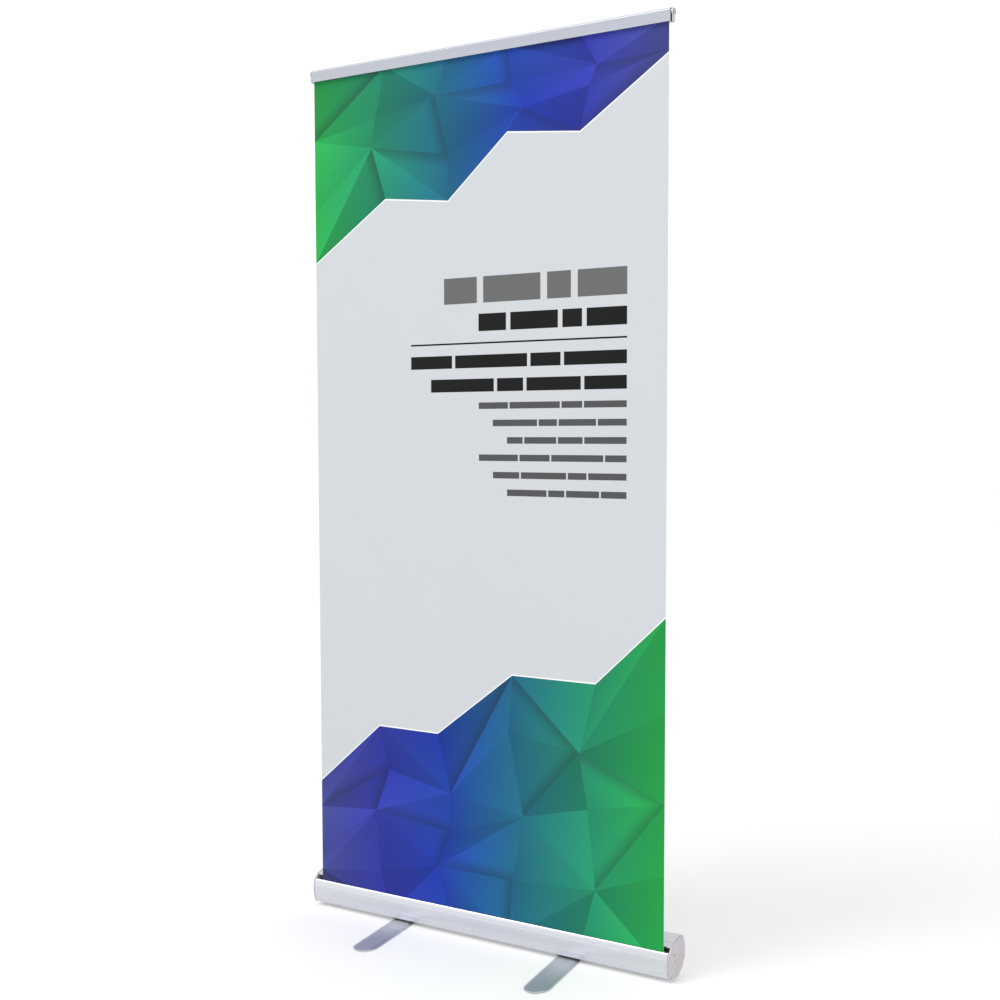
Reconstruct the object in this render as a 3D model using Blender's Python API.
"""Roll-up banner stand with a spring roller in its case, swivel feet, a clamp rail and a folding pole.

Metres, +Z up. The stand rests on z = 0 with its case along X and its print facing -Y.
The origin lies under the middle of the stand's bounding box.
"""
import math

import bmesh
import bpy
from mathutils import Matrix, Vector

# Overall sizes
PRINT_WIDTH = 1.000
PRINT_HEIGHT = 2.000
CASE_OVERHANG = 0.045         # the case is longer than the print by this in all
CASE_LENGTH = PRINT_WIDTH + CASE_OVERHANG
PRINT_SHIFT = 0.0045          # the print hangs a little to the right of the case's middle

# Clearances
GAP = 0.0003                  # between pieces that touch or turn on each other
POLE_PLAY = 0.0008            # round the pole in its socket, so that it can lean back

# Case section, measured from the front lip: Y to the rear, Z up
WALL = 0.0016
LIP_FRONT = 0.004
SLOT_FRONT = 0.0022
SLOT_REAR = 0.008
SLOT_RISE = 0.0132
CASE_DROP = 0.058
FRONT_LOW = (-0.0015, -0.052)
FRONT_BULGE = 0.0042
CORNER_REACH = 0.006
CORNER_BULGE = 0.0017
FLAT_REAR = 0.0335
CHAMFER_TOP = (0.052, -0.042)
REAR_TOP = (0.0545, 0.0290)
REAR_BULGE = 0.0112
RIM_RISE = 0.0020
TOP_REAR = (0.0495, 0.0298)
TOP_GROOVE_Y = 0.0232
GROOVE_WIDTH = 0.0018
GROOVE_DEPTH = 0.0012
FRONT_BEAD_Z = -0.0420
FRONT_BEAD_WIDTH = 0.0045
FRONT_BEAD_RISE = 0.0006
FRONT_STEP_Z = -0.0120
STEP_DEPTH = 0.0005
RETURN_HEIGHT = 0.0025
SLOT_DEPTH = 0.016
LIP_BEAD = 0.0016

# End caps and their screws
CAP_THICK = 0.0055
CAP_PROUD = 0.0006
CAP_ROUND = 0.0018
PIN_BOSS_R = 0.009
PIN_BOSS_LENGTH = 0.006
PORT_R = 0.0036
PORT_SINK = 0.0010            # how far each port merges into the wall
SCREW_R = 0.0016
SCREW_HEAD_R = 0.0031
SCREW_HEAD_HEIGHT = 0.0018
SCREW_LENGTH = 0.020
SCREW_KEY = 0.0026
LOCK_SLOT = (0.0160, -0.0060)
LOCK_SLOT_WIDTH = 0.0050
LOCK_SLOT_HEIGHT = 0.0024

# Roller, its wound print and its spring
ROLLER_R = 0.015
ROLLER_WALL = 0.0012
TAPE_THICK = 0.0005
TAPE_ARC = 60
ROLL_THICK = 0.0014
ROLL_UNDER = 0.0025           # from the front lip down to the top of the wound print
SHEET_THICK = 0.0005
PLUG_LENGTH = 0.015
PLUG_FLANGE = 0.002
PIN_R = 0.0025
PIN_DEPTH = 0.018
ARBOR_R = 0.004
SPRING_LENGTH = 0.180
SPRING_TURNS = 12
SPRING_R = 0.0085
SPRING_WIRE = 0.0007
HUB_R = 0.010
HUB_LENGTH = 0.012

# Clamp rail, measured from the bead's centre
RAIL_OVERHANG = 0.0195        # the rail is longer than the print by this in all
RAIL_LENGTH = PRINT_WIDTH + RAIL_OVERHANG
RAIL_SHIFT = 0.00225          # from the print's middle
BEAD_R = 0.008
BEAD_WALL = 0.0025
BEAD_HEIGHT = 0.020           # above the print's visible top edge
STEM_HALF = 0.005
JAW_CORNER = 0.0045
JAW_GAP = 0.0006
JAW_LIP = 0.0007
JAW_OPEN = 25                 # degrees that the front jaw opens by
JAW_PLAY = 2
SHOULDER_ANGLE = -26          # top of the rear half's shoulder, from level
RAIL_CAP_THICK = 0.005        # end plate and gasket together
RAIL_CAP_ROUND = 0.0008
RECESS_R = 0.0066
RECESS_DEPTH = 0.0018
DOME_R = 0.0046
DOME_HEIGHT = 0.0042
GASKET_THICK = 0.0010
GASKET_PROUD = 0.0004
SHEET_GRIP = 0.010

# Feet, measured from the swivel bolt
FOOT_SPREAD = 0.244           # from the case's middle to each swivel
FOOT_PIVOT_Y = 0.0265         # behind the print
FOOT_FRONT = 0.260
FOOT_TAIL = 0.095
FOOT_WIDTH = 0.058
FOOT_TIP = 0.040              # length of each rounded end
FOOT_THICK = 0.0032
FOOT_EDGE = 0.0008
FOOT_BEVEL = 0.0085
FOOT_TOE = 14                 # degrees from square to the case, as the feet stand
PAD_THICK = 0.0015
PAD_LENGTH = 0.016
PAD_WIDTH = 0.034
PAD_INSET = 0.014
WASHER_THICK = 0.001
WASHER_R = 0.012
CARRIER_THICK = 0.0018
CARRIER_MARGIN = 0.0015
CARRIER_FRONT = 0.004
CARRIER_REAR = 0.048
BOLT_R = 0.003
BOLT_HEAD_R = 0.007
BOLT_HEAD_HEIGHT = 0.0014
BOLT_HEAD_LOW = 0.0016
NUT_R = 0.0065
NUT_HEIGHT = 0.004
BOLT_TIP = 0.0015             # above the nut

# Pole
POLE_R = 0.0065
POLE_WALL = 0.0008
POLE_Y = 0.046                # where it crosses the case's top
POLE_PIVOT_Z = 0.010
SOCKET_DEPTH = 0.018          # below the pivot
SOCKET_WALL = 0.0013
SOCKET_RISE = 0.024           # above the pivot
COLLAR_R = 0.0115
COLLAR_THICK = 0.002
COLLAR_CLEAR = 0.0012
POLE_SECTIONS = 3
FERRULE_LENGTH = 0.060
FERRULE_WALL = 0.0010
CORD_R = 0.0015
HEAD_WIDTH = 0.016
HEAD_REACH = 0.0095           # pole axis behind the bead's rear
HEAD_DROP = 0.016
HEAD_BACK = 0.0075
HEAD_RISE = 0.005
HEAD_PLUG = 0.030

# Heights that follow from the stack on the floor
FOOT_LOW = PAD_THICK + GAP
FOOT_HIGH = FOOT_LOW + FOOT_THICK
WASHER_LOW = FOOT_HIGH + GAP
CARRIER_LOW = WASHER_LOW + WASHER_THICK + GAP
CASE_LOW = CARRIER_LOW + CARRIER_THICK + GAP
LIP_Z = CASE_LOW + CASE_DROP
PIVOT_Y = (FOOT_FRONT - FOOT_TAIL) / 2 * math.cos(math.radians(FOOT_TOE))
PRINT_Y = PIVOT_Y - FOOT_PIVOT_Y

SHELL_HALF = CASE_LENGTH / 2 - CAP_THICK
ROLL_R = ROLLER_R + GAP + TAPE_THICK + GAP + ROLL_THICK
ROLLER_DROP = ROLL_R + ROLL_UNDER
ROLLER_Y = ROLL_R + SHEET_THICK / 2 + GAP
ROLLER_HALF = SHELL_HALF - PIN_BOSS_LENGTH - PLUG_FLANGE - 4 * GAP
BEAD_Z = PRINT_HEIGHT + BEAD_HEIGHT
HEAD_Y = BEAD_R + HEAD_REACH
POLE_LEAN = math.atan2(POLE_Y - HEAD_Y, BEAD_Z - HEAD_DROP - POLE_PIVOT_Z)


# Materials -----------------------------------------------------------------------------------

def material(name, colour, roughness, metallic=0.0):
    made = bpy.data.materials.new(name)
    made.use_nodes = True
    shader = made.node_tree.nodes["Principled BSDF"]
    shader.inputs["Base Color"].default_value = (*colour, 1.0)
    shader.inputs["Roughness"].default_value = roughness
    shader.inputs["Metallic"].default_value = metallic
    made.diffuse_color = (*colour, 1.0)
    return made


def make_materials():
    return {
        "anodised": material("anodised_aluminium", (0.68, 0.69, 0.74), 0.34, 1.0),
        "rail": material("rail_aluminium", (0.55, 0.56, 0.62), 0.38, 1.0),
        "foot": material("foot_aluminium", (0.42, 0.45, 0.52), 0.36, 1.0),
        "cap": material("cap_plastic", (0.52, 0.50, 0.52), 0.5),
        "black": material("black_plastic", (0.02, 0.02, 0.022), 0.5),
        "rubber": material("rubber", (0.03, 0.03, 0.03), 0.85),
        "steel": material("zinc_steel", (0.56, 0.56, 0.58), 0.32, 1.0),
        "spring": material("spring_steel", (0.22, 0.22, 0.24), 0.35, 1.0),
        "print": material("print_film", (0.68, 0.72, 0.74), 0.55),
        "tape": material("tape", (0.80, 0.78, 0.70), 0.6),
        "cord": material("elastic_cord", (0.05, 0.05, 0.06), 0.9),
    }


# Outlines in the YZ plane --------------------------------------------------------------------

def arc(centre, radius, start, end, steps):
    """Points on a circle, with angles in degrees from +Y towards +Z."""
    points = []
    for step in range(steps + 1):
        angle = math.radians(start + (end - start) * step / steps)
        points.append((centre[0] + radius * math.cos(angle), centre[1] + radius * math.sin(angle)))
    return points


def bow(start, end, rise, steps):
    """Points of a shallow arc from start to end, which bulges to the right of its direction."""
    chord = Vector(end) - Vector(start)
    half = chord.length / 2
    radius = (half * half + rise * rise) / (2 * rise)
    outward = Vector((chord.y, -chord.x)).normalized()
    centre = (Vector(start) + Vector(end)) / 2 - outward * (radius - rise)
    spread = math.degrees(math.asin(half / radius))
    middle = math.degrees(math.atan2(outward.y, outward.x))
    return arc(centre, radius, middle - spread, middle + spread, steps)


def offset(points, distance):
    """The closed outline moved to its right by distance, with mitred corners."""
    moved = []
    count = len(points)
    for index, point in enumerate(points):
        before = (Vector(point) - Vector(points[index - 1])).normalized()
        after = (Vector(points[(index + 1) % count]) - Vector(point)).normalized()
        normal_before = Vector((before.y, -before.x))
        normal_after = Vector((after.y, -after.x))
        mitre = (normal_before + normal_after).normalized()
        moved.append(tuple(Vector(point) + mitre * distance / max(mitre.dot(normal_after), 0.5)))
    return moved


def front_face():
    """The front wall's outside, from the lip down to the lower corner."""
    return bow((-LIP_FRONT, 0.0), FRONT_LOW, FRONT_BULGE, 20)


def rear_half():
    """The rest of the outside: lower corner, bottom, rear, rim and sloping top."""
    corner = (FRONT_LOW[0] + CORNER_REACH, -CASE_DROP)
    points = bow(FRONT_LOW, corner, CORNER_BULGE, 5)[1:]
    points.append((FLAT_REAR, -CASE_DROP))
    points += bow(CHAMFER_TOP, REAR_TOP, REAR_BULGE, 14)
    points.append((REAR_TOP[0] - RIM_RISE, REAR_TOP[1] + RIM_RISE))
    points.append(TOP_REAR)
    return points


def smooth_outline():
    return front_face() + rear_half() + [(SLOT_REAR, SLOT_RISE)]


def screw_ports():
    """Centres of the screw ports: in the lower front corner, on the rear wall and under the top."""
    rear = bow(CHAMFER_TOP, REAR_TOP, REAR_BULGE, 14)
    near_rim = Vector(TOP_REAR).lerp(Vector((SLOT_REAR, SLOT_RISE)), 0.05)
    inset = WALL + PORT_R - PORT_SINK
    ports = [(FRONT_LOW[0] + inset, -CASE_DROP + inset)]
    for start, end in ((rear[4], rear[5]), (TOP_REAR, near_rim)):
        along = (Vector(end) - Vector(start)).normalized()
        middle = (Vector(start) + Vector(end)) / 2
        ports.append(tuple(middle + Vector((-along.y, along.x)) * inset))
    return ports


def notch(points, index_of, depth, width):
    """Cut a V with its middle where index_of falls below zero along the outline."""
    cut = []
    for here, there in zip(points, points[1:]):
        cut.append(here)
        if index_of(here) > 0 >= index_of(there):
            along = (Vector(there) - Vector(here)).normalized()
            share = index_of(here) / (index_of(here) - index_of(there))
            middle = Vector(here).lerp(Vector(there), share)
            inward = Vector((-along.y, along.x))
            cut.append(tuple(middle - along * width / 2))
            cut.append(tuple(middle + inward * depth))
            cut.append(tuple(middle + along * width / 2))
    cut.append(points[-1])
    return cut


def ridge(points, index_of, rise, width):
    """Raise a round bead with its middle where index_of falls below zero along the outline."""
    for here, there in zip(points, points[1:]):
        if index_of(here) > 0 >= index_of(there):
            along = (Vector(there) - Vector(here)).normalized()
            middle = Vector(here).lerp(Vector(there), index_of(here) / (index_of(here) - index_of(there)))
            break
    before = [point for point in points if (Vector(point) - middle).dot(along) < -width / 2]
    after = [point for point in points if (Vector(point) - middle).dot(along) > width / 2]
    return before + bow(middle - along * width / 2, middle + along * width / 2, rise, 6) + after


def grooved_outline():
    """The outside with the front face's line and bead and the groove in the sloping top."""
    front = notch(front_face(), lambda p: p[1] - FRONT_STEP_Z, STEP_DEPTH, GROOVE_WIDTH / 2)
    front = ridge(front, lambda p: p[1] - FRONT_BEAD_Z, FRONT_BEAD_RISE, FRONT_BEAD_WIDTH)
    top = notch([TOP_REAR, (SLOT_REAR, SLOT_RISE)], lambda p: p[0] - TOP_GROOVE_Y, GROOVE_DEPTH, GROOVE_WIDTH)
    return front + rear_half() + top[1:]


# Mesh building -------------------------------------------------------------------------------

def add(name, mesh, finish, parent, smooth=32):
    made = bpy.data.objects.new(name, mesh)
    bpy.context.scene.collection.objects.link(made)
    made.parent = parent
    if finish is not None:
        mesh.materials.append(finish)
    mesh.shade_smooth()
    mesh.set_sharp_from_angle(angle=math.radians(smooth))
    return made


def closed_mesh(name, vertices, faces):
    mesh = bpy.data.meshes.new(name)
    mesh.from_pydata(vertices, [], faces)
    edit = bmesh.new()
    edit.from_mesh(mesh)
    bmesh.ops.recalc_face_normals(edit, faces=edit.faces)
    edit.to_mesh(mesh)
    edit.free()
    return mesh


def prism(name, outline, low, high, finish, parent, axis="X"):
    """An outline drawn across the axis (YZ for X, XY for Z) and extruded from low to high."""
    count = len(outline)
    if axis == "X":
        vertices = [(end, a, b) for end in (low, high) for a, b in outline]
    else:
        vertices = [(a, b, end) for end in (low, high) for a, b in outline]
    faces = [tuple(range(count)), tuple(range(2 * count - 1, count - 1, -1))]
    for index in range(count):
        after = (index + 1) % count
        faces.append((index, index + count, after + count, after))
    return add(name, closed_mesh(name, vertices, faces), finish, parent)


def turned(name, profile, finish, parent, axis="Z", sides=24, centre=(0.0, 0.0, 0.0), closed=False):
    """A profile of (along, radius) points turned about an axis through centre.

    An open profile starts and ends at radius 0; a closed one is a ring's section.
    """
    vertices = []
    rings = []
    for along, radius in profile:
        count = sides if radius > 0 else 1
        rings.append(list(range(len(vertices), len(vertices) + count)))
        for side in range(count):
            angle = 2 * math.pi * side / sides
            across = (radius * math.cos(angle), radius * math.sin(angle))
            place = (along, *across) if axis == "X" else (*across, along)
            vertices.append(tuple(Vector(place) + Vector(centre)))
    pairs = list(zip(rings, rings[1:]))
    if closed:
        pairs.append((rings[-1], rings[0]))
    faces = []
    for first, second in pairs:
        for side in range(sides):
            after = (side + 1) % sides
            corners = [first[side % len(first)], first[after % len(first)],
                       second[after % len(second)], second[side % len(second)]]
            faces.append(tuple(dict.fromkeys(corners)))
    return add(name, closed_mesh(name, vertices, faces), finish, parent)


def solid_rod(name, low, high, radius, finish, parent, **options):
    return turned(name, [(low, 0.0), (low, radius), (high, radius), (high, 0.0)], finish, parent, **options)


def tube(name, low, high, outer, inner, finish, parent, **options):
    ring = [(low, inner), (low, outer), (high, outer), (high, inner)]
    return turned(name, ring, finish, parent, closed=True, **options)


def box_outline(low, high):
    return [(low[0], low[1]), (high[0], low[1]), (high[0], high[1]), (low[0], high[1])]


def combine(target, other, operation):
    """Join or cut with a hidden helper that stays beside the piece."""
    other.hide_render = True
    other.display_type = "WIRE"
    step = target.modifiers.new(other.name, "BOOLEAN")
    step.operation = operation
    step.object = other
    step.solver = "EXACT"


def cut(target, cutter):
    combine(target, cutter, "DIFFERENCE")


def join(target, extra):
    combine(target, extra, "UNION")


def frame_at(name, parent, place, turn=(0.0, 0.0, 0.0)):
    """An empty on a joint's axis that carries a moving group."""
    made = bpy.data.objects.new(name, None)
    bpy.context.scene.collection.objects.link(made)
    made.parent = parent
    made.location = place
    made.rotation_euler = turn
    return made


def pole_matrix():
    """From the pole's own frame to the case's: the pole leans forward from its socket."""
    return Matrix.Translation((0.0, POLE_Y, POLE_PIVOT_Z)) @ Matrix.Rotation(POLE_LEAN, 4, "X")


# Case ----------------------------------------------------------------------------------------

def make_shell(base, looks):
    shell = prism("cassette_shell", grooved_outline(), -SHELL_HALF, SHELL_HALF, looks["anodised"], base)
    past = SHELL_HALF + WALL
    cut(shell, prism("cutter_hollow", offset(smooth_outline(), -WALL), -past, past, None, base))
    slot = box_outline((-SLOT_FRONT, -SLOT_DEPTH), (SLOT_REAR, SLOT_RISE + WALL))
    cut(shell, prism("cutter_slot", slot, -past, past, None, base))
    slope = (TOP_REAR[1] - SLOT_RISE) / (TOP_REAR[0] - SLOT_REAR)
    inner = SLOT_REAR + WALL
    flange = [(SLOT_REAR, SLOT_RISE - RETURN_HEIGHT), (inner, SLOT_RISE - RETURN_HEIGHT),
              (inner, SLOT_RISE + slope * WALL - WALL / 4), (SLOT_REAR, SLOT_RISE - WALL / 4)]
    join(shell, prism("joiner_return", flange, -SHELL_HALF, SHELL_HALF, None, base))
    bead = arc((-LIP_FRONT + LIP_BEAD * 0.7, -LIP_BEAD * 0.6), LIP_BEAD * 0.85, 0, 330, 11)
    join(shell, prism("joiner_lip", bead, -SHELL_HALF, SHELL_HALF, None, base))
    for number, port in enumerate(screw_ports(), 1):
        ring = arc(port, PORT_R, 0, 345, 23)
        join(shell, prism(f"joiner_port_{number}", ring, -SHELL_HALF, SHELL_HALF, None, base))
    for number, port in enumerate(screw_ports(), 1):
        bore = arc(port, SCREW_R + GAP, 0, 337.5, 15)
        cut(shell, prism(f"cutter_port_{number}", bore, -past, past, None, base))
    for side, x in foot_places():
        hole = solid_rod(f"cutter_bolt_{side}", -CASE_DROP - WALL, -CASE_DROP + 3 * WALL, BOLT_R + GAP,
                         None, base, sides=16, centre=(x, FOOT_PIVOT_Y, 0.0))
        cut(shell, hole)
    hole = solid_rod("cutter_pole", 0.0, 2 * SOCKET_RISE, socket_radius() + GAP, None, base)
    hole.data.transform(pole_matrix())
    cut(shell, hole)
    return shell


def foot_places():
    return (("left", -FOOT_SPREAD), ("right", FOOT_SPREAD))


def socket_radius():
    return POLE_R + POLE_PLAY + SOCKET_WALL


def make_end_cap(side, sign, base, looks):
    inner = SHELL_HALF + GAP
    outer = CASE_LENGTH / 2
    outline = offset(smooth_outline(), CAP_PROUD)
    cap = prism(f"end_cap_{side}", outline, sign * inner, sign * outer, looks["cap"], base)
    edges = cap.modifiers.new("rounded_rim", "BEVEL")
    edges.width = CAP_ROUND
    edges.segments = 3
    edges.limit_method = "ANGLE"
    edges.angle_limit = math.radians(50)
    centre = (0.0, ROLLER_Y, -ROLLER_DROP)
    boss = solid_rod(f"joiner_boss_{side}", sign * (inner - PIN_BOSS_LENGTH), sign * (inner + CAP_ROUND),
                     PIN_BOSS_R, None, base, axis="X", centre=centre)
    join(cap, boss)
    through = (sign * (inner - 2 * PIN_BOSS_LENGTH), sign * (outer + CAP_ROUND))
    held = ARBOR_R if side == "left" else PIN_R
    cut(cap, solid_rod(f"cutter_pin_{side}", *through, held + GAP, None, base, axis="X", centre=centre))
    slot = box_outline((LOCK_SLOT[0] - LOCK_SLOT_WIDTH / 2, LOCK_SLOT[1] - LOCK_SLOT_HEIGHT / 2),
                       (LOCK_SLOT[0] + LOCK_SLOT_WIDTH / 2, LOCK_SLOT[1] + LOCK_SLOT_HEIGHT / 2))
    cut(cap, prism(f"cutter_lock_{side}", slot, *through, None, base))
    for number, port in enumerate(screw_ports(), 1):
        sunk = [(through[0], 0.0), (through[0], SCREW_R + GAP),
                (sign * (outer - SCREW_HEAD_HEIGHT - GAP), SCREW_R + GAP),
                (sign * outer, SCREW_HEAD_R + GAP), (through[1], SCREW_HEAD_R + GAP), (through[1], 0.0)]
        cut(cap, turned(f"cutter_screw_{side}_{number}", sunk, None, base, axis="X", sides=16,
                        centre=(0.0, *port)))
        make_screw(f"cap_screw_{side}_{number}", sign, outer, (0.0, *port), base, looks["steel"])
    return cap


def make_screw(name, sign, face, centre, base, finish):
    """A countersunk screw with a hexagon socket, its head flush with the face."""
    top = face - GAP
    profile = [(sign * (face - SCREW_LENGTH), 0.0), (sign * (face - SCREW_LENGTH), SCREW_R * 0.6),
               (sign * (face - SCREW_LENGTH + SCREW_R), SCREW_R),
               (sign * (top - SCREW_HEAD_HEIGHT), SCREW_R),
               (sign * top, SCREW_HEAD_R), (sign * top, 0.0)]
    screw = turned(name, profile, finish, base, axis="X", sides=16, centre=centre)
    key = solid_rod(f"cutter_key_{name}", sign * (top - SCREW_HEAD_HEIGHT / 2), sign * (top + SCREW_R),
                    SCREW_KEY / 2, None, base, axis="X", sides=6, centre=centre)
    cut(screw, key)
    return screw


def make_socket(base, looks):
    """The pole's socket: a blind sleeve with a collar that lies along the sloping top."""
    frame = pole_matrix()
    sleeve = solid_rod("pole_socket", -SOCKET_DEPTH - WALL, SOCKET_RISE, socket_radius(), looks["black"], base)
    sleeve.data.transform(frame)
    slope = math.atan2(TOP_REAR[1] - SLOT_RISE, TOP_REAR[0] - SLOT_REAR)
    height = SLOT_RISE + (POLE_Y - SLOT_REAR) * math.tan(slope)
    collar = solid_rod("joiner_collar", COLLAR_CLEAR, COLLAR_CLEAR + COLLAR_THICK, COLLAR_R, None, base)
    tilt = Matrix.Translation((0.0, POLE_Y - COLLAR_THICK, height)) @ Matrix.Rotation(slope, 4, "X")
    collar.data.transform(tilt)
    join(sleeve, collar)
    bore = solid_rod("cutter_socket", -SOCKET_DEPTH, 2 * SOCKET_RISE, POLE_R + POLE_PLAY, None, base)
    bore.data.transform(frame)
    cut(sleeve, bore)
    return sleeve


# Roller --------------------------------------------------------------------------------------

def make_roller(base, looks):
    axis = frame_at("roller_axis", base, (0.0, ROLLER_Y, -ROLLER_DROP))
    inner = ROLLER_R - ROLLER_WALL
    tube("roller_tube", -ROLLER_HALF, ROLLER_HALF, ROLLER_R, inner, looks["anodised"], axis,
         axis="X", sides=32)
    plug_r = inner - GAP
    for side, sign, held in (("left", -1, ARBOR_R), ("right", 1, PIN_R)):
        far = ROLLER_HALF + GAP
        ring = [(sign * (ROLLER_HALF - PLUG_LENGTH), held + GAP), (sign * (ROLLER_HALF - PLUG_LENGTH), plug_r),
                (sign * far, plug_r), (sign * far, ROLLER_R),
                (sign * (far + PLUG_FLANGE), ROLLER_R), (sign * (far + PLUG_FLANGE), held + GAP)]
        turned(f"roller_plug_{side}", ring, looks["black"], axis, axis="X", closed=True)
    print_low = PRINT_SHIFT - PRINT_WIDTH / 2
    print_high = PRINT_SHIFT + PRINT_WIDTH / 2
    low = ROLLER_R + GAP
    strip = arc((0.0, 0.0), low, 180, 180 + TAPE_ARC, 6) + arc((0.0, 0.0), low + TAPE_THICK,
                                                               180 + TAPE_ARC, 180, 6)
    prism("roller_tape", strip, print_low, print_high, looks["tape"], axis)
    tube("print_roll", print_low, print_high, ROLL_R, ROLL_R - ROLL_THICK, looks["print"], axis,
         axis="X", sides=32)
    make_spring(base, axis, looks)
    pin_low = SHELL_HALF - PIN_DEPTH
    solid_rod("roller_pin_right", pin_low, CASE_LENGTH / 2 - GAP, PIN_R, looks["steel"], base,
              axis="X", sides=16, centre=(0.0, ROLLER_Y, -ROLLER_DROP))
    return axis


def make_spring(base, axis, looks):
    """The fixed arbor with its hub, the torsion spring round it and the driver in the roller."""
    centre = (0.0, ROLLER_Y, -ROLLER_DROP)
    start = -ROLLER_HALF + PLUG_LENGTH + 2 * GAP
    spring_low = start + HUB_LENGTH + GAP
    spring_high = spring_low + SPRING_LENGTH
    driver_high = spring_high + GAP + HUB_LENGTH
    solid_rod("spring_arbor", -CASE_LENGTH / 2 + GAP, driver_high + HUB_LENGTH, ARBOR_R, looks["steel"],
              base, axis="X", sides=16, centre=centre)
    tube("spring_hub", start, start + HUB_LENGTH, HUB_R, ARBOR_R + GAP, looks["black"], base,
         axis="X", sides=20, centre=centre)
    driver_r = ROLLER_R - ROLLER_WALL - GAP
    tube("spring_driver", spring_high + GAP, driver_high, driver_r, ARBOR_R + GAP, looks["black"], axis, axis="X")
    steps = SPRING_TURNS * 10
    curve = bpy.data.curves.new("torsion_spring", "CURVE")
    curve.dimensions = "3D"
    curve.bevel_depth = SPRING_WIRE
    curve.bevel_resolution = 1
    curve.use_fill_caps = True
    path = curve.splines.new("POLY")
    path.points.add(steps)
    run = SPRING_LENGTH - 2 * SPRING_WIRE
    for step in range(steps + 1):
        angle = 2 * math.pi * SPRING_TURNS * step / steps
        along = spring_low + SPRING_WIRE + run * step / steps
        path.points[step].co = (along, SPRING_R * math.cos(angle), SPRING_R * math.sin(angle), 1.0)
    spring = bpy.data.objects.new("torsion_spring", curve)
    bpy.context.scene.collection.objects.link(spring)
    spring.parent = base
    spring.location = centre
    curve.materials.append(looks["spring"])


# Clamp rail and print ------------------------------------------------------------------------

def make_rail(base, looks):
    carriage = frame_at("rail_carriage", base, (PRINT_SHIFT + RAIL_SHIFT, 0.0, BEAD_Z))
    half = RAIL_LENGTH / 2 - RAIL_CAP_THICK
    core_r = BEAD_R - BEAD_WALL - GAP
    stem_angle = -math.degrees(math.acos(STEM_HALF / BEAD_R))
    front_angle = 360 - math.degrees(math.acos(JAW_GAP / core_r))
    core = [(JAW_GAP, -BEAD_HEIGHT), (STEM_HALF, -BEAD_HEIGHT)]
    core += arc((0.0, 0.0), BEAD_R, stem_angle, SHOULDER_ANGLE, 4)
    core += arc((0.0, 0.0), core_r, SHOULDER_ANGLE, front_angle, 28)
    rear = prism("rail_rear_half", core, -half, half, looks["rail"], carriage)
    for side, sign in (("left", -1), ("right", 1)):
        deep = sign * (half - SCREW_LENGTH)
        hole = solid_rod(f"cutter_rail_{side}", deep, sign * (half + GAP), SCREW_R + GAP, None,
                         carriage, axis="X", sides=16)
        cut(rear, hole)
        make_rail_cap(side, sign, half, carriage, looks)
    make_jaw(base, half, looks)
    sheet = box_outline((-SHEET_THICK / 2, -BEAD_Z - ROLLER_DROP), (SHEET_THICK / 2, SHEET_GRIP - BEAD_HEIGHT))
    low = -RAIL_SHIFT - PRINT_WIDTH / 2
    prism("print_sheet", sheet, low, low + PRINT_WIDTH, looks["print"], carriage)
    return carriage


def make_jaw(base, half, looks):
    """The flat front jaw wraps round the core and turns on it to let the print in."""
    hinge = frame_at("jaw_hinge", base, (PRINT_SHIFT + RAIL_SHIFT, 0.0, BEAD_Z))
    inner_r = BEAD_R - BEAD_WALL
    inner_end = 180 + math.degrees(math.acos(JAW_GAP / inner_r))
    rear_end = SHOULDER_ANGLE + JAW_OPEN + JAW_PLAY
    outline = arc((0.0, 0.0), BEAD_R, rear_end, 90, 16)
    outline += arc((JAW_CORNER - BEAD_R, BEAD_R - JAW_CORNER), JAW_CORNER, 90, 180, 8)
    lip = -BEAD_HEIGHT + 3 * JAW_LIP
    outline += [(-BEAD_R, lip + JAW_LIP), (-BEAD_R - JAW_LIP, lip), (-BEAD_R - JAW_LIP, -BEAD_HEIGHT),
                (-JAW_GAP, -BEAD_HEIGHT)]
    outline += arc((0.0, 0.0), inner_r, inner_end, rear_end, 28)
    prism("rail_front_jaw", outline, -half, half, looks["rail"], hinge)


def keyhole(grown=0.0):
    """The rail's end outline: a round bead over a straight stem."""
    stem = math.degrees(math.asin((STEM_HALF + grown) / (BEAD_R + grown)))
    outline = arc((0.0, 0.0), BEAD_R + grown, stem - 90, 270 - stem, 24)
    low = -BEAD_HEIGHT - grown
    return outline + [(-STEM_HALF - grown, low), (STEM_HALF + grown, low)]


def make_rail_cap(side, sign, half, carriage, looks):
    gasket_inner = half + GAP
    inner = gasket_inner + GASKET_THICK + GAP
    outer = RAIL_LENGTH / 2
    gasket = prism(f"rail_gasket_{side}", keyhole(GASKET_PROUD), sign * gasket_inner,
                   sign * (gasket_inner + GASKET_THICK), looks["black"], carriage)
    cut(gasket, solid_rod(f"cutter_gasket_{side}", sign * half, sign * inner, SCREW_R + GAP, None,
                          carriage, axis="X", sides=16))
    cap = prism(f"rail_cap_{side}", keyhole(), sign * inner, sign * outer, looks["steel"], carriage)
    edges = cap.modifiers.new("rounded_rim", "BEVEL")
    edges.width = RAIL_CAP_ROUND
    edges.segments = 2
    edges.limit_method = "ANGLE"
    edges.angle_limit = math.radians(50)
    seat = outer - RECESS_DEPTH
    sunk = [(sign * (inner - GAP), 0.0), (sign * (inner - GAP), SCREW_R + GAP), (sign * seat, SCREW_R + GAP),
            (sign * seat, RECESS_R), (sign * (outer + GAP), RECESS_R), (sign * (outer + GAP), 0.0)]
    cut(cap, turned(f"cutter_rail_cap_{side}", sunk, None, carriage, axis="X", sides=24))
    make_dome_screw(f"rail_screw_{side}", sign, seat + GAP, carriage, looks["steel"])


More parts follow.
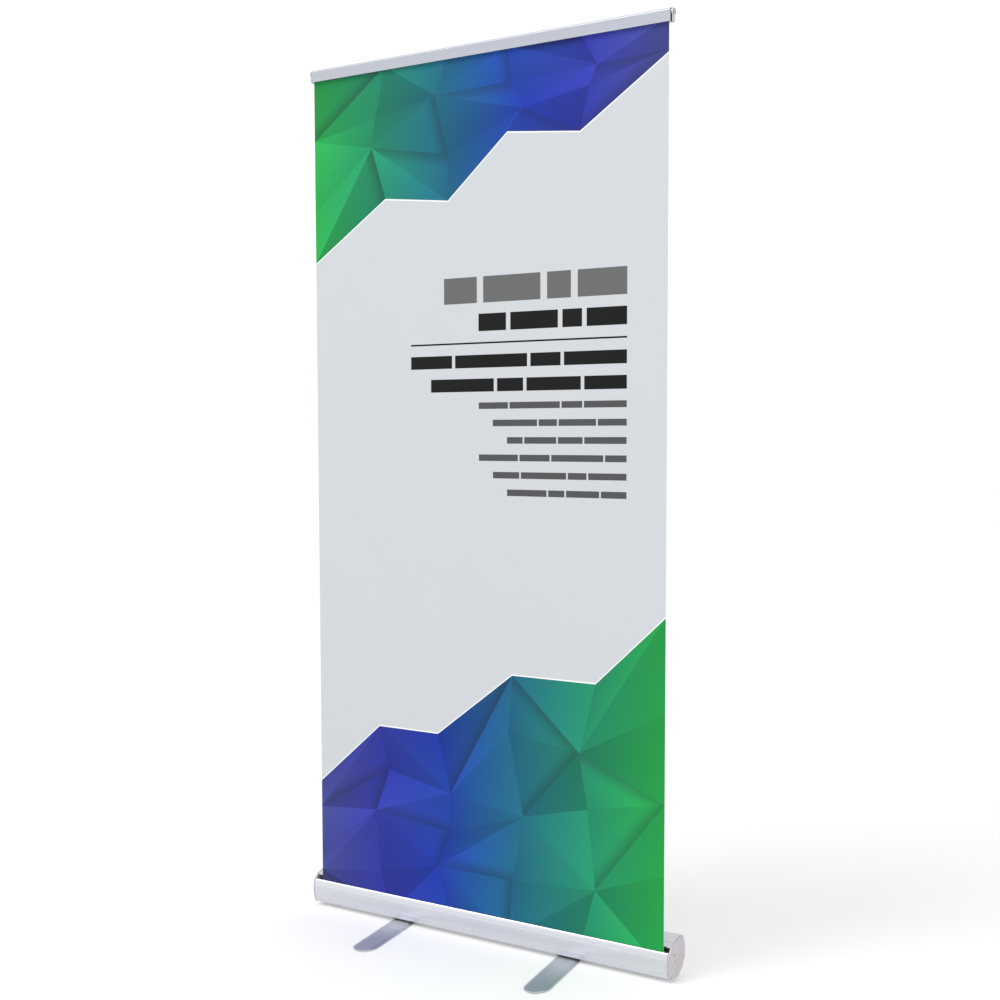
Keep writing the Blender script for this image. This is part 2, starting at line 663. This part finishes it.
def make_dome_screw(name, sign, seat, parent, finish):
    """A button-head screw with a hexagon socket, its head standing on the seat."""
    deep = seat + RECESS_DEPTH - SCREW_LENGTH
    profile = [(sign * deep, 0.0), (sign * deep, SCREW_R * 0.6), (sign * (deep + SCREW_R), SCREW_R),
               (sign * seat, SCREW_R), (sign * seat, DOME_R)]
    for step in range(5):
        angle = math.radians(18 * step)
        profile.append((sign * (seat + DOME_HEIGHT * (0.2 + 0.8 * math.sin(angle))), DOME_R * math.cos(angle)))
    profile.append((sign * (seat + DOME_HEIGHT), 0.0))
    screw = turned(name, profile, finish, parent, axis="X", sides=20)
    top = seat + DOME_HEIGHT
    cut(screw, solid_rod(f"cutter_key_{name}", sign * (top - SCREW_HEAD_HEIGHT), sign * (top + SCREW_R),
                         SCREW_KEY / 2, None, parent, axis="X", sides=6))


# Feet ----------------------------------------------------------------------------------------

def foot_plan(steps):
    """A flat bar's plan with drawn-out round ends, pointing along -Y from the swivel."""
    points = []
    for start, middle in ((0, FOOT_TAIL - FOOT_TIP), (180, FOOT_TIP - FOOT_FRONT)):
        for across, along in arc((0.0, 0.0), FOOT_WIDTH / 2, start, start + 180, steps):
            points.append((across, middle + along * 2 * FOOT_TIP / FOOT_WIDTH))
    return points


def make_foot(side, x, base, looks):
    swivel = frame_at(f"foot_swivel_{side}", None, (x, PIVOT_Y, 0.0), (0.0, 0.0, math.radians(FOOT_TOE)))
    half = FOOT_WIDTH / 2
    flat = half - FOOT_BEVEL
    profile = [(-half, FOOT_LOW), (half, FOOT_LOW), (half, FOOT_LOW + FOOT_EDGE), (flat, FOOT_HIGH),
               (-flat, FOOT_HIGH), (-half, FOOT_LOW + FOOT_EDGE)]
    count = len(profile)
    spans = (FOOT_TAIL + FOOT_EDGE, -FOOT_FRONT - FOOT_EDGE)
    vertices = [(across, along, up) for along in spans for across, up in profile]
    faces = [tuple(range(count)), tuple(range(2 * count - 1, count - 1, -1))]
    faces += [(i, i + count, (i + 1) % count + count, (i + 1) % count) for i in range(count)]
    name = f"foot_bar_{side}"
    bar = add(name, closed_mesh(name, vertices, faces), looks["foot"], swivel)
    trim = prism(f"trim_plan_{side}", foot_plan(24), 0.0, 2 * FOOT_HIGH, None, swivel, axis="Z")
    combine(bar, trim, "INTERSECT")
    seat = BOLT_HEAD_LOW + BOLT_HEAD_HEIGHT + GAP
    recess = [(0.0, 0.0), (0.0, BOLT_HEAD_R + GAP), (seat, BOLT_HEAD_R + GAP), (seat, BOLT_R + GAP),
              (2 * FOOT_HIGH, BOLT_R + GAP), (2 * FOOT_HIGH, 0.0)]
    cut(bar, turned(f"cutter_swivel_{side}", recess, None, swivel))
    for end, middle in (("front", PAD_INSET + PAD_LENGTH / 2 - FOOT_FRONT),
                        ("rear", FOOT_TAIL - PAD_INSET - PAD_LENGTH / 2)):
        pad = box_outline((-PAD_WIDTH / 2, middle - PAD_LENGTH / 2), (PAD_WIDTH / 2, middle + PAD_LENGTH / 2))
        block = prism(f"foot_pad_{side}_{end}", pad, 0.0, PAD_THICK, looks["rubber"], swivel, axis="Z")
        edges = block.modifiers.new("rounded_corners", "BEVEL")
        edges.width = PAD_THICK / 3
        edges.segments = 2
        edges.limit_method = "ANGLE"
        edges.angle_limit = math.radians(60)
    make_foot_fixings(side, x, base, looks)


def make_foot_fixings(side, x, base, looks):
    """The carrier under the case, and the bolt, washer and nut that the foot swivels on."""
    centre = (x, FOOT_PIVOT_Y, -LIP_Z)
    tube(f"foot_washer_{side}", WASHER_LOW, WASHER_LOW + WASHER_THICK, WASHER_R, BOLT_R + GAP,
         looks["black"], base, centre=centre)
    rise = (CHAMFER_TOP[1] + CASE_DROP) / (CHAMFER_TOP[0] - FLAT_REAR)
    under = -CASE_DROP - GAP
    low = CARRIER_LOW - LIP_Z
    outline = [(CARRIER_FRONT, low), (CARRIER_REAR, low), (CARRIER_REAR, under + rise * (CARRIER_REAR - FLAT_REAR)),
               (FLAT_REAR, under), (CARRIER_FRONT, under)]
    toe = math.radians(FOOT_TOE)
    middle = x + FOOT_PIVOT_Y * math.tan(toe)
    half = FOOT_WIDTH / 2 / math.cos(toe) + CARRIER_MARGIN
    carrier = prism(f"foot_carrier_{side}", outline, middle - half, middle + half, looks["black"], base)
    cut(carrier, solid_rod(f"cutter_carrier_{side}", 0.0, LIP_Z, BOLT_R + GAP, None, base,
                           sides=16, centre=centre))
    nut_low = CASE_LOW + WALL + GAP
    tip = nut_low + NUT_HEIGHT + BOLT_TIP
    head_top = BOLT_HEAD_LOW + BOLT_HEAD_HEIGHT
    bolt = [(BOLT_HEAD_LOW, 0.0), (BOLT_HEAD_LOW, BOLT_HEAD_R), (head_top, BOLT_HEAD_R), (head_top, BOLT_R),
            (tip, BOLT_R), (tip, 0.0)]
    screw = turned(f"foot_bolt_{side}", bolt, looks["steel"], base, sides=16, centre=centre)
    cut(screw, solid_rod(f"cutter_bolt_key_{side}", 0.0, BOLT_HEAD_LOW + BOLT_HEAD_HEIGHT / 2, BOLT_R, None,
                         base, sides=6, centre=centre))
    hexagon = [(x + a, FOOT_PIVOT_Y + b) for a, b in arc((0.0, 0.0), NUT_R, 0, 300, 5)]
    nut = prism(f"foot_nut_{side}", hexagon, nut_low - LIP_Z, nut_low + NUT_HEIGHT - LIP_Z, looks["steel"],
                base, axis="Z")
    cut(nut, solid_rod(f"cutter_nut_{side}", 0.0, LIP_Z, BOLT_R + GAP, None, base, sides=16, centre=centre))


# Pole ----------------------------------------------------------------------------------------

def make_pole(base, looks):
    pivot = frame_at("pole_pivot", base, (0.0, POLE_Y, POLE_PIVOT_Z), (POLE_LEAN, 0.0, 0.0))
    bottom = -SOCKET_DEPTH + GAP
    reach = (BEAD_Z - HEAD_DROP - POLE_PIVOT_Z) / math.cos(POLE_LEAN)
    plug_thick = 4 * WALL
    first = bottom + plug_thick / 2 + GAP
    section = (reach - first) / POLE_SECTIONS
    inner = POLE_R - POLE_WALL
    names = ("lower", "middle", "upper")
    for number, name in enumerate(names):
        low = first + number * section
        tube(f"pole_tube_{name}", low, low + section - GAP, POLE_R, inner, looks["rail"], pivot, sides=20)
    cord_high = reach - HEAD_PLUG - GAP
    for number, name in enumerate(names[1:], 1):
        joint = first + number * section
        tube(f"pole_ferrule_{name}", joint - FERRULE_LENGTH / 2, joint + FERRULE_LENGTH / 2,
             inner - GAP, inner - GAP - FERRULE_WALL, looks["steel"], pivot, sides=16)
    plug = [(bottom, 0.0), (bottom, POLE_R), (bottom + plug_thick / 2, POLE_R),
            (bottom + plug_thick / 2, inner - GAP), (bottom + 3 * plug_thick, inner - GAP),
            (bottom + 3 * plug_thick, 0.0)]
    turned("pole_foot_plug", plug, looks["black"], pivot, sides=20)
    solid_rod("pole_cord", bottom + 3 * plug_thick + GAP, cord_high, CORD_R, looks["cord"], pivot, sides=8)
    make_pole_head(pivot, reach, inner, looks)


def make_pole_head(pivot, reach, inner, looks):
    """The head cradles the bead's rear shoulder, so that the pole pushes the rail up."""
    clear = BEAD_R + GAP
    tip = math.degrees(math.acos((STEM_HALF + GAP) / clear))
    back = HEAD_Y + HEAD_BACK
    cradle = arc((0.0, BEAD_Z), clear, -tip, 0, 8)
    cradle += [(clear, BEAD_Z + HEAD_RISE), (back - HEAD_RISE, BEAD_Z + HEAD_RISE), (back, BEAD_Z),
               (back, BEAD_Z - HEAD_DROP + GAP), (STEM_HALF + GAP + HEAD_RISE, BEAD_Z - HEAD_DROP + GAP),
               (STEM_HALF + GAP, BEAD_Z - HEAD_DROP / 1.6)]
    head = prism("pole_head", cradle, -HEAD_WIDTH / 2, HEAD_WIDTH / 2, looks["black"], pivot)
    head.data.transform(pole_matrix().inverted())
    join(head, solid_rod("joiner_head", reach - HEAD_PLUG, reach + HEAD_DROP / 2, inner - GAP, None, pivot,
                         sides=20))


# Build ---------------------------------------------------------------------------------------

def build():
    for old in list(bpy.data.objects):
        bpy.data.objects.remove(old, do_unlink=True)
    looks = make_materials()
    base = frame_at("stand_base", None, (0.0, PRINT_Y, LIP_Z))
    make_shell(base, looks)
    make_end_cap("left", -1, base, looks)
    make_end_cap("right", 1, base, looks)
    make_socket(base, looks)
    make_roller(base, looks)
    make_rail(base, looks)
    for side, x in foot_places():
        make_foot(side, x, base, looks)
    make_pole(base, looks)
    bpy.context.view_layer.update()


build()
